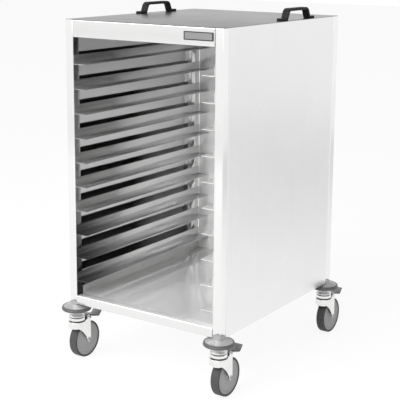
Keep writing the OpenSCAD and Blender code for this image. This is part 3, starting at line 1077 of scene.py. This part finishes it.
@dataclass
class Handles(Assembly):
    """The two bridge handles on the top sheet and their screws."""

    x: float = 279.0
    y: float = 69.0
    length: float = 208.0
    across: float = 24.0
    height: float = 38.0
    grip: float = 9.0
    pad: float = 8.0
    clear: float = 142.0
    lean: float = 17.0
    round_top: float = 22.0
    round_under: float = 12.0
    round_foot: float = 3.0
    round_pad: float = 2.0
    screw: float = 3.0
    head: float = 5.5
    head_height: float = 3.5
    screw_length: float = 22.0
    socket: float = 1.8

    def leg(self, z: float) -> float:
        """Half the clear length between the legs at a height above the foot."""
        return self.clear / 2 - self.lean * z / self.height

    @property
    def screw_places(self) -> tuple[float, float]:
        """Where a handle's two screws stand along Y."""
        offset = self.length / 2 - ((self.length - self.clear) / 2 - self.grip) / 2
        return (self.y - offset, self.y + offset)

    @property
    def seat(self) -> float:
        """Height of the seat of a screw's head."""
        return self.top + self.pad - self.head_height

    def outline(self) -> list[Point]:
        """Side view of a handle, from its front foot over the grip to its rear foot.

        Returns:
            The closed line.
        """
        grip, top, pad, half = self.grip, self.height, self.pad, self.length / 2
        outer = [(-half, 0.0), (-half, pad), (-self.leg(pad) - grip, pad), (-self.leg(top) - grip, top)]
        outer += [(-u, v) for u, v in reversed(outer)]
        inner = [(self.leg(0.0), 0.0), (self.leg(top - grip), top - grip)]
        inner += [(-u, v) for u, v in reversed(inner)]
        rounds = [0.0, self.round_pad, self.round_foot, self.round_top]
        rounds += rounds[::-1] + [0.0, self.round_under, self.round_under, 0.0]
        return rounded(outer + inner, rounds, 8)

    def build(self) -> None:
        """Make both handles and their four screws."""
        line = [(self.y + u, self.top + v) for u, v in self.outline()]
        pattern = Bench.sweep("handle_pattern", line, Axis.X, -self.across / 2, self.across / 2)
        bore = box_points((0.0, self.seat), (self.head + 0.5, self.seat + 20.0))
        for y in self.screw_places:
            Bench.cut(pattern, Bench.turned("counterbore", bore, centre=(0.0, y, 0.0), steps=32))
        Bench.soften(pattern, 2.0, segments=4, angle=40)
        Bench.smooth(pattern, SOFT_CREASE)
        for side in Side:
            grip = Bench.copy(pattern, "bridge_handle_" + side.word, (side.value * self.x, 0.0, 0.0))
            self.fit(grip, "handle_plastic", self.finishes.handle, "handle_" + side.word)
        bpy.data.objects.remove(pattern)
        screws = [self.make_screw((side.value * self.x, y, 0.0)) for side in Side for y in self.screw_places]
        self.fit(Bench.join(screws, "cap_screws"), "bolt_steel", self.finishes.screw, "handle_screws")

    def make_screw(self, place: Place) -> Piece:
        """Make one socket screw standing in its foot.

        Args:
            place: Where its axis stands.

        Returns:
            The screw.
        """
        low, end = self.seat, self.seat - self.screw_length
        top = low + self.head_height
        profile = [(0.0, end), (self.screw - 0.6, end), (self.screw, end + 0.8), (self.screw, low),
                   (self.head, low), (self.head, top - 0.6), (self.head - 0.6, top), (0.0, top)]
        screw = Bench.turned("cap_screw", profile, centre=place, steps=28)
        hole = box_points((0.0, top - self.socket), (self.screw, top + 1.0))
        Bench.cut(screw, Bench.turned("socket", hole, centre=place, steps=6))
        return Bench.smooth(screw, TURNED_CREASE)


@dataclass
class Caster(Assembly):
    """One braked caster, modelled about its swivel axis and copied to the four corners."""

    wheel: float = 125.0
    tyre_width: float = 30.0
    tyre_thick: float = 6.5
    shoulder: float = 3.0
    recess: float = 1.5
    boss: float = 14.0
    trail: float = 38.0
    leg_gap: float = 3.0
    plate: float = 3.0
    crown: float = 133.0
    crown_r: float = 30.0
    king_hole: float = 6.1
    axle_boss: float = 10.0
    axle: float = 4.0
    axle_hole: float = 4.1
    bolt_tip: float = 4.4
    nut_r: float = 6.4
    nut_start: float = 0.3
    nut_end: float = 3.9
    race_r: float = 27.0
    race_top: float = 150.0
    cap_low: float = 152.0
    bumper_low: float = 176.0
    bumper_r: float = 50.0
    bumper_rim: float = 13.0
    bumper_rise: float = 9.0
    neck_r: float = 19.0
    stem_r: float = 8.0
    expander_r: float = 13.2
    expander: float = 57.5
    skirt: float = 20.0
    skirt_low: float = 45.0
    arch: Point = (-69.0, 18.5)
    arch_end: float = 25.6
    near: float = 0.2
    edge_near: float = 1.3
    pedal_half: float = 17.5
    pedal_reach: float = 112.0
    tip_length: float = 18.0
    tip_rise: float = 14.0
    pedal_dip: float = 15.0
    pedal_thick: float = 4.0
    pedal_skirt: float = 7.0
    hinge: Point = (36.0, 144.0)
    hinge_r: float = 5.0
    plate_start: float = 6.0
    barrel: float = 4.5
    barrel_half: float = 17.4
    pin: float = 3.0
    pin_half: float = 22.0
    shoe_half: float = 11.0
    shoe_length: float = 10.0
    shoe_gap: float = 2.7
    shoe_start: float = 4.0
    web: float = 4.4
    ear: float = 18.0
    ear_thick: float = 3.0
    beyond: float = 5.0
    tool_half: float = 40.0

    @property
    def wheel_r(self) -> float:
        """Radius of the wheel."""
        return self.wheel / 2

    @property
    def leg_x(self) -> float:
        """Inner face of a fork leg."""
        return self.tyre_width / 2 + self.leg_gap

    @property
    def wheel_centre(self) -> Place:
        """Middle of the wheel."""
        return (0.0, self.trail, self.wheel_r)

    @property
    def hinge_centre(self) -> Place:
        """Middle of the pedal's pin."""
        return (0.0, self.hinge[0], self.hinge[1])

    @property
    def arch_r(self) -> float:
        """Radius of the fork's arch."""
        return math.hypot(self.trail - self.axle_boss + 1.0 - self.arch[0], self.wheel_r - self.arch[1])

    @property
    def pedal_start(self) -> Point:
        """Where the pedal's plate begins behind its hinge, at its upper face."""
        return (self.hinge[0] + self.plate_start, self.hinge[1] + self.hinge_r)

    def place(self, corner: Corner) -> Place:
        """Where a corner's swivel axis stands."""
        x = corner.value[0] * (self.width - self.post) / 2
        return (x, self.middle + corner.value[1] * (self.depth - self.post) / 2, 0.0)

    def make_bumper(self) -> Piece:
        """Model the disc: a glossy cone on top of a dark rubber rim with a groove round it.

        Returns:
            The disc, with both finishes on it.
        """
        low, edge, hole = self.bumper_low, self.bumper_r, self.stem_r + 0.1
        high, top = low + self.bumper_rim, low + self.bumper_rim + self.bumper_rise
        ring = [(20.0, low), (edge - 8.0, low)]
        ring += arc((edge - 5.2, low + 5.0), 5.0, -90, 40, 10)
        ring += [(edge - 1.9, low + 8.6), (edge - 2.4, low + 9.3), (edge - 1.9, low + 10.0)]
        ring += arc((edge - 4.2, low + 10.6), 2.4, 5, 100, 6)
        ring += [(edge - 9.0, high - 0.6), (20.0, high - 0.6)]
        band = Bench.turned("bumper_band", ring, steps=72)
        Finishes.dress(band, self.finishes.bumper_rim)
        cone = [(hole, low + 1.5), (19.0, low + 1.5), (22.0, high - 1.5), (edge - 7.6, high - 1.5),
                (edge - 6.6, high - 0.2), (edge - 8.4, high + 0.6), (edge - 14.0, high + 1.6),
                (30.0, high + 4.2), (20.0, high + 7.2), (15.6, top), (hole, top)]
        cover = Bench.turned("bumper_cone", cone, steps=72)
        Finishes.dress(cover, self.finishes.bumper)
        band.data.materials.append(self.finishes.bumper)
        for face in band.data.polygons:
            if face.center.to_2d().length < (edge - 7.0) * MM:
                face.material_index = 1
        return Bench.smooth(Bench.join([band, cover], "bumper_pattern"), SOFT_CREASE)

    def make_stem(self) -> Piece:
        """Model the expander, the stem and the bell of the upper race as one turned piece.

        Returns:
            The stem.
        """
        low, rim, neck = self.cap_low, self.race_r, self.neck_r
        foot, end, wide = self.foot, self.foot + self.expander, self.expander_r
        profile = [(0.0, low + 0.6), (17.0, low + 0.6), (19.0, low), (rim - 1.5, low), (rim, low + 1.5),
                   (rim, low + 4.0), (rim - 1.0, low + 5.4), (rim - 2.6, low + 7.0), (neck + 1.8, low + 13.0),
                   (neck + 0.4, low + 17.0), (neck, low + 21.0), (neck, self.bumper_low),
                   (self.stem_r, self.bumper_low), (self.stem_r, foot + 1.0), (wide, foot + 2.0),
                   (wide, end - 1.5), (wide - 2.2, end), (0.0, end)]
        return Bench.smooth(Bench.turned("stem_pattern", profile, steps=56), TURNED_CREASE)

    def side_line(self) -> list[Point]:
        """Side view of the fork: the front skirt, the arch over the wheel and the leg down to the axle.

        Returns:
            The closed line.
        """
        top, low = self.crown + self.plate + self.beyond, self.crown - self.skirt
        ahead = -self.crown_r - self.beyond
        start = math.degrees(math.asin((low - self.arch[1]) / self.arch_r))
        line = [(ahead, top), (ahead, low)] + arc(self.arch, self.arch_r, start, self.arch_end, 14)
        line += arc((self.trail, self.wheel_r), self.axle_boss, 169, 360, 18)
        return line + [(self.trail + self.axle_boss, top)]

    def plan_line(self, inset: float) -> list[Point]:
        """Plan of the fork: a round front with straight sides behind it.

        Args:
            inset: How far inside the outer face the line runs.

        Returns:
            The closed line.
        """
        half = self.leg_x + self.plate - inset
        rear = self.trail + self.axle_boss + inset
        radius = self.crown_r - inset
        turn = math.degrees(math.acos(half / radius))
        return [(half, rear), (-half, rear)] + arc(ORIGIN[:2], radius, 180 + turn, 360 - turn, 20)

    def make_shell(self) -> Piece:
        """Press the fork's sheet, with painted shade inside it and on the cut edge round its arch.

        Returns:
            The sheet.
        """
        low, high, half = self.skirt_low, self.crown, self.tool_half
        shell = Bench.sweep("fork_shell", self.plan_line(0.0), Axis.Z, low, high + self.plate)
        inside = self.plan_line(self.plate)
        Bench.cut(shell, Bench.sweep("fork_hollow", inside, Axis.Z, low - self.beyond, high))
        Bench.cut(shell, Bench.sweep("fork_profile", self.side_line(), Axis.X, -half, half), Overlap.KEPT)
        Bench.soften(shell, 1.1, segments=3, angle=40)
        Finishes.dress(shell, self.finishes.zinc)
        # Painted shade on the inside faces and the arch edge.
        shell.data.materials.append(self.finishes.dull)
        inner_r, inner_x = self.crown_r - self.plate + self.near, self.leg_x + self.near
        for face in shell.data.polygons:
            x, y, z = (v / MM for v in face.center)
            on_arch = abs(math.hypot(y - self.arch[0], z - self.arch[1]) - self.arch_r) < self.edge_near
            within = math.hypot(x, min(y, 0.0)) < inner_r and abs(x) < inner_x and z < high + self.near
            if on_arch or within:
                face.material_index = 1
        return shell

    def make_fork(self) -> Piece:
        """Model the pressed fork, its crown plate, the lower race and the hinge ears.

        Returns:
            The fork, with both finishes on it.
        """
        low, top, wide = self.crown, self.crown + self.plate, self.crown_r
        rim, hole, race = self.race_r, self.king_hole, self.race_top
        crown = [(hole, low + 0.1), (wide - 1.0, low + 0.1), (wide, low + 1.0), (wide, top - 1.0),
                 (wide - 1.0, top + 0.05), (hole, top + 0.05)]
        shell = self.make_shell()
        parts = [Bench.turned("fork_crown", crown, steps=64)]
        for side in Side:
            way = side.value
            centre = (way * (self.leg_x + self.plate - 0.1), self.trail, self.wheel_r)
            boss = [(0.0, 0.0), (8.6, 0.0), (8.0, way * 0.8), (0.0, way * 0.8)]
            parts.append(Bench.turned("leg_boss", boss, Axis.X, centre, 32))
            y, radius = self.hinge[0], self.hinge_r
            line = [(y - radius, low + 1.0), (y + radius, low + 1.0)]
            line += arc(self.hinge, radius, 0, 180, 12)
            ends = sorted((way * self.ear, way * (self.ear + self.ear_thick)))
            ear = Bench.sweep("hinge_ear", line, Axis.X, ends[0], ends[1])
            parts.append(Bench.soften(ear, 0.6, segments=2, angle=50))
        lip = [(hole, top + 3.5), (rim - 1.2, top + 3.5), (rim, top + 4.7), (rim, race - 1.2),
               (rim - 1.2, race), (21.0, race), (20.0, race - 1.0), (hole, race - 1.0)]
        parts.append(Bench.turned("lower_race", lip, steps=56))
        for part in parts:
            Finishes.dress(part, self.finishes.zinc)
        # A recessed ring under the lower race, in painted shade.
        seal = Bench.turned("race_seal", box_points((hole, top - 1.0), (rim - 1.5, top + 4.5)), steps=56)
        Finishes.dress(seal, self.finishes.dull)
        return Bench.smooth(Bench.join([shell] + parts + [seal], "fork_pattern"), PRESSED_CREASE)

    def make_axle(self) -> Piece:
        """Model the wheel bolt: shank, hexagon head and nut.

        Returns:
            The bolt.
        """
        half, radius, wide = self.leg_x + self.plate, self.axle, self.nut_r
        tip = half + self.bolt_tip
        shank = [(0.0, -half - 1.0), (radius, -half - 1.0), (radius, tip - 0.8), (radius - 0.7, tip),
                 (0.0, tip)]
        parts = [Bench.turned("bolt_shank", shank, Axis.X, self.wheel_centre, 28)]
        for side in Side:
            way = side.value
            start, end = way * (half + self.nut_start), way * (half + self.nut_end)
            hexagon = [(0.0, start), (wide, start), (wide, end - way * 0.5), (wide - 0.8, end), (0.0, end)]
            parts.append(Bench.turned("bolt_hexagon", hexagon, Axis.X, self.wheel_centre, 6))
        return Bench.smooth(Bench.join(parts, "axle_pattern"), TURNED_CREASE)

    def make_hub(self) -> Piece:
        """Model the wheel's flat disc with its turned rings and centre boss.

        Returns:
            The disc.
        """
        half = self.tyre_width / 2 - self.recess
        edge, boss = self.wheel_r - self.tyre_thick, self.boss
        boss_half = self.leg_x - 0.4
        side = [(self.axle_hole, boss_half), (boss - 1.5, boss_half), (boss, boss_half - 1.2),
                (boss + 0.8, half + 0.6), (boss + 3.0, half - 0.2), (edge - 9.5, half - 0.2),
                (edge - 8.5, half - 1.0), (edge - 7.0, half - 1.0), (edge - 6.0, half), (edge - 1.2, half),
                (edge - 0.1, half - 0.9)]
        profile = side + [(r, -h) for r, h in reversed(side)]
        hub = Bench.turned("hub_pattern", profile, Axis.X, self.wheel_centre, 72)
        return Bench.smooth(hub, TURNED_CREASE)

    def make_tyre(self) -> Piece:
        """Model the tyre with round shoulders and a faint crown.

        Returns:
            The tyre.
        """
        half, radius, curve = self.tyre_width / 2, self.wheel_r, self.shoulder
        inner = radius - self.tyre_thick
        line = [(inner, -half + 0.8), (inner + 0.8, -half)]
        line += arc((radius - curve - 0.15, -half + curve), curve, -90, 0, 8)
        line += [(radius - 0.02, -half + curve + 4.0), (radius, 0.0), (radius - 0.02, half - curve - 4.0)]
        line += arc((radius - curve - 0.15, half - curve), curve, 0, 90, 8)
        line += [(inner + 0.8, half), (inner, half - 0.8)]
        return Bench.smooth(Bench.turned("tyre_pattern", line, Axis.X, self.wheel_centre, 96), SOFT_CREASE)

    def pedal_shell(self, drop: float, radii: list[float]) -> list[Point]:
        """Draw the side view of the pedal's falling plate and rising tip.

        Args:
            drop: How far it reaches down from its upper face.
            radii: Radii of its six corners.

        Returns:
            The closed line.
        """
        start, top = self.pedal_start
        bend_y, bend_z = self.pedal_reach - self.tip_length, top - self.pedal_dip
        slant = math.hypot(self.tip_length, self.tip_rise)
        out = self.pedal_thick * self.tip_rise / slant
        down = self.pedal_thick * self.tip_length / slant
        tip = bend_z + self.tip_rise
        line = [(start, top - drop), (bend_y + out / 2, bend_z - drop), (self.pedal_reach, tip - down),
                (self.pedal_reach - out, tip), (bend_y, bend_z), (start, top)]
        return rounded(line, radii)

    def make_pedal(self) -> Piece:
        """Model the brake pedal: barrel, plate with skirts, pin, web and shoe.

        Returns:
            The pedal.
        """
        start, top = self.pedal_start
        half, centre = self.pedal_half, self.hinge_centre
        tread = self.pedal_shell(self.pedal_thick, [1, 5, 1.2, 1.2, 5, 1])
        parts = [Bench.soften(Bench.sweep("tread", tread, Axis.X, -half, half), 0.9, segments=3, angle=50)]
        for side in Side:
            x0, x1 = sorted((side.value * half, side.value * (half - self.ear_thick)))
            line = self.pedal_shell(self.pedal_skirt, [2, 6, 1.2, 1.2, 5, 1])
            parts.append(Bench.soften(Bench.sweep("skirt", line, Axis.X, x0, x1), 0.7, segments=3, angle=50))
        wide, far, pin = self.barrel_half, self.pin_half, self.pin
        barrel = box_points((0.0, -wide), (self.barrel, wide))
        parts.append(Bench.turned("barrel", barrel, Axis.X, centre, 28))
        half_pin = [(pin, far - 0.7), (pin - 0.7, far), (0.0, far)]
        whole_pin = [(r, -h) for r, h in reversed(half_pin)] + half_pin
        parts.append(Bench.turned("pin", whole_pin, Axis.X, centre, 24))
        web_end = (wide, start + 1.0, centre[2] + self.web)
        parts.append(Bench.block("web", (-wide, centre[1], centre[2]), web_end))
        near = self.trail + self.axle_boss + self.shoe_start
        low = self.wheel + self.shoe_gap
        fall = self.pedal_dip / (self.pedal_reach - self.tip_length - start)
        ends = [(y, top - self.pedal_thick / 2 - fall * (y - start)) for y in (near + self.shoe_length, near)]
        shoe = Bench.sweep("shoe", [(near, low), (near + self.shoe_length, low)] + ends, Axis.X,
                           -self.shoe_half, self.shoe_half)
        parts.append(Bench.soften(shoe, 0.5, segments=2, angle=50))
        return Bench.smooth(Bench.join(parts, "pedal_pattern"), PRESSED_CREASE)

    def build(self) -> None:
        """Model each piece once and copy it to the four corners."""
        looks = self.finishes
        kinds = (
            ("bumper", self.make_bumper, "bumper_disc_", "cabinet", "bumper_rubber", None),
            ("caster_stem", self.make_stem, "swivel_head_", "cabinet", "stem_zinc", looks.race),
            ("fork", self.make_fork, "pressed_fork_", "swivel_", "fork_zinc", None),
            ("axle", self.make_axle, "wheel_bolt_", "swivel_", "bolt_steel", looks.screw),
            ("hub", self.make_hub, "wheel_disc_", "wheel_", "hub_plastic", looks.disc),
            ("tyre", self.make_tyre, "rubber_tyre_", "wheel_", "tyre_rubber", looks.tyre),
            ("brake_pedal", self.make_pedal, "foot_pedal_", "pedal_", "pedal_plastic", looks.pedal),
        )
        for node, make, name, body, slot, finish in kinds:
            pattern = make()
            for corner in Corner:
                piece = Bench.copy(pattern, name + corner.word, self.place(corner))
                rides = body if body == "cabinet" else body + corner.word
                self.fit(piece, slot, finish, f"{node}_{corner.word}", rides)
            bpy.data.objects.remove(pattern)
        Finishes.dress(self.nodes["swivel_balls"], looks.race)


@dataclass(frozen=True)
class Lamp:
    """A soft square lamp, in metres and watts."""

    name: str
    place: Place
    aim: Place
    size: float
    power: float
    mirrored: bool = True

    def hang(self) -> None:
        """Add the lamp to the scene."""
        Bench.clear()
        bpy.ops.object.light_add(type="AREA", location=self.place)
        lamp = bpy.context.object
        lamp.name = self.name
        lamp.data.shape = "SQUARE"
        lamp.data.size = self.size
        lamp.data.energy = self.power
        lamp.visible_glossy = self.mirrored
        lamp.rotation_mode = "QUATERNION"
        lamp.rotation_quaternion = (Vector(self.aim) - Vector(self.place)).to_track_quat("-Z", "Y")


LAMPS = (
    Lamp("key_lamp", (0.8, -3.6, 4.0), (0.0, 0.0, 0.4), 3.8, 110.0),
    Lamp("fill_lamp", (-2.4, -3.6, 4.0), (0.2, 0.0, 0.5), 2.6, 100.0),
    Lamp("front_lamp", (-0.4, -5.0, 2.6), (0.1, 0.0, 0.6), 2.6, 140.0, mirrored=False),
)


@dataclass
class Studio:
    """The floor, the lamps, the world and the photograph's camera.

    Angles are in degrees and the camera's lengths in mm; its focal length is in pixels of the photograph.
    Sizes of the floor, and of the grey card on it that only reflections show, are in metres.
    """

    azimuth: float = 34.03
    pitch: float = 11.49
    roll: float = 0.42
    focal: float = 1065.12
    distance: float = 3174.12
    target: Place = (220.24, -391.0, 749.6)
    shift: float = -0.1
    frame_px: int = 400
    sensor: float = 36.0
    sight_m: float = 60.0
    floor_m: float = 40.0
    floor_drop_m: float = 0.0005
    floor_paper: float = 0.97
    floor_white: float = 0.88
    card: Place = (2.2, 3.0, 0.0)
    card_reach: Point = (0.4, 3.2)
    card_depth: float = 0.22
    world_light: float = 0.6

    def make_camera(self) -> None:
        """Set the camera where the photograph was taken from."""
        azimuth, pitch, roll = (math.radians(v) for v in (self.azimuth, self.pitch, self.roll))
        ahead = Vector((-math.sin(azimuth) * math.cos(pitch), math.cos(azimuth) * math.cos(pitch),
                        -math.sin(pitch)))
        level = Vector((math.cos(azimuth), math.sin(azimuth), 0.0))
        up = level.cross(ahead)
        right = level * math.cos(roll) + up * math.sin(roll)
        above = up * math.cos(roll) - level * math.sin(roll)
        Bench.clear()
        bpy.ops.object.camera_add()
        camera = bpy.context.object
        camera.name = "photo_camera"
        eye = (Vector(self.target) - ahead * self.distance) * MM
        turn = Matrix((right, above, -ahead)).transposed()
        camera.matrix_world = Matrix.Translation(eye) @ turn.to_4x4()
        camera.data.sensor_width = self.sensor
        camera.data.lens = self.focal / self.frame_px * self.sensor
        camera.data.shift_y = self.shift
        camera.data.clip_end = self.sight_m
        bpy.context.scene.camera = camera

    @staticmethod
    def seen(nodes: Nodes) -> Socket:
        """Tell the rays of the camera and of reflections from the rays that light the object.

        Args:
            nodes: The nodes of the floor or of the world.

        Returns:
            1 for camera, glossy and transmission rays, 0 for the others.
        """
        rays = nodes.add("LightPath", {})
        direct = nodes.combine(Sum.LARGER, rays["Is Camera Ray"], rays["Is Glossy Ray"])
        return nodes.combine(Sum.LARGER, direct, rays["Is Transmission Ray"])

    def card_shade(self, nodes: Nodes) -> Socket:
        """Dim the floor in reflections, where a grey card with a soft edge would lie behind the right side.

        Args:
            nodes: The floor's nodes.

        Returns:
            The floor's own strength: 1 to the camera, less in a reflection of the card.
        """
        place = nodes.add("TexCoord", {})["Object"]
        reach = nodes.add("VectorMath", {0: place, 1: self.card}, operation="DISTANCE")["Value"]
        shade = nodes.span(reach, self.card_depth, 0.0, self.card_reach, Blend.SOFT)
        mirrored = nodes.combine(Sum.PRODUCT, shade, nodes.add("LightPath", {})["Is Glossy Ray"])
        return nodes.combine(Sum.REMAINDER, 1.0, mirrored)

    def make_floor(self) -> None:
        """Lay a wide pale floor that looks white and keeps a faint shadow."""
        Bench.clear()
        bpy.ops.mesh.primitive_plane_add(size=self.floor_m, location=(0.0, 0.0, -self.floor_drop_m))
        floor = bpy.context.object
        floor.name = "studio_floor"
        material = bpy.data.materials.new("floor_paper")
        nodes = Nodes(material)
        paper = nodes.tree.nodes["Principled BSDF"]
        nodes.feed(paper, {"Base Color": (self.floor_paper, self.floor_paper, self.floor_paper, 1.0),
                           "Roughness": 0.9, "Specular IOR Level": 0.0})
        white = nodes.add("Emission", {"Strength": self.card_shade(nodes)})[0]
        share = nodes.combine(Sum.PRODUCT, self.seen(nodes), self.floor_white)
        mix = nodes.add("MixShader", {"Fac": share, 1: paper.outputs[0], 2: white})[0]
        nodes.feed(nodes.tree.nodes["Material Output"], {"Surface": mix})
        floor.data.materials.append(material)

    def make_world(self) -> None:
        """Light from all round, and show white to the camera and in reflections."""
        world = bpy.data.worlds.new("studio_world")
        bpy.context.scene.world = world
        nodes = Nodes(world)
        nodes.tree.nodes.clear()
        light, white = (nodes.add("Background", {"Color": (1.0, 1.0, 1.0, 1.0), "Strength": strength})[0]
                        for strength in (self.world_light, 1.0))
        mix = nodes.add("MixShader", {"Fac": self.seen(nodes), 1: light, 2: white})[0]
        nodes.add("OutputWorld", {"Surface": mix})

    def build(self) -> None:
        """Set up the whole studio."""
        self.make_world()
        self.make_floor()
        for lamp in LAMPS:
            lamp.hang()
        self.make_camera()
        bpy.context.scene.view_settings.view_transform = "Standard"


def main() -> None:
    """Build the trolley's looks and the studio around it."""
    logging.basicConfig(level=logging.INFO, format="%(name)s: %(message)s")
    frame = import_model()
    finishes = Finishes()
    for assembly in (Cabinet, NamePlate, Handles, Caster):
        assembly(frame["nodes"], finishes).build()
    Studio().build()


if __name__ == "__main__":
    main()
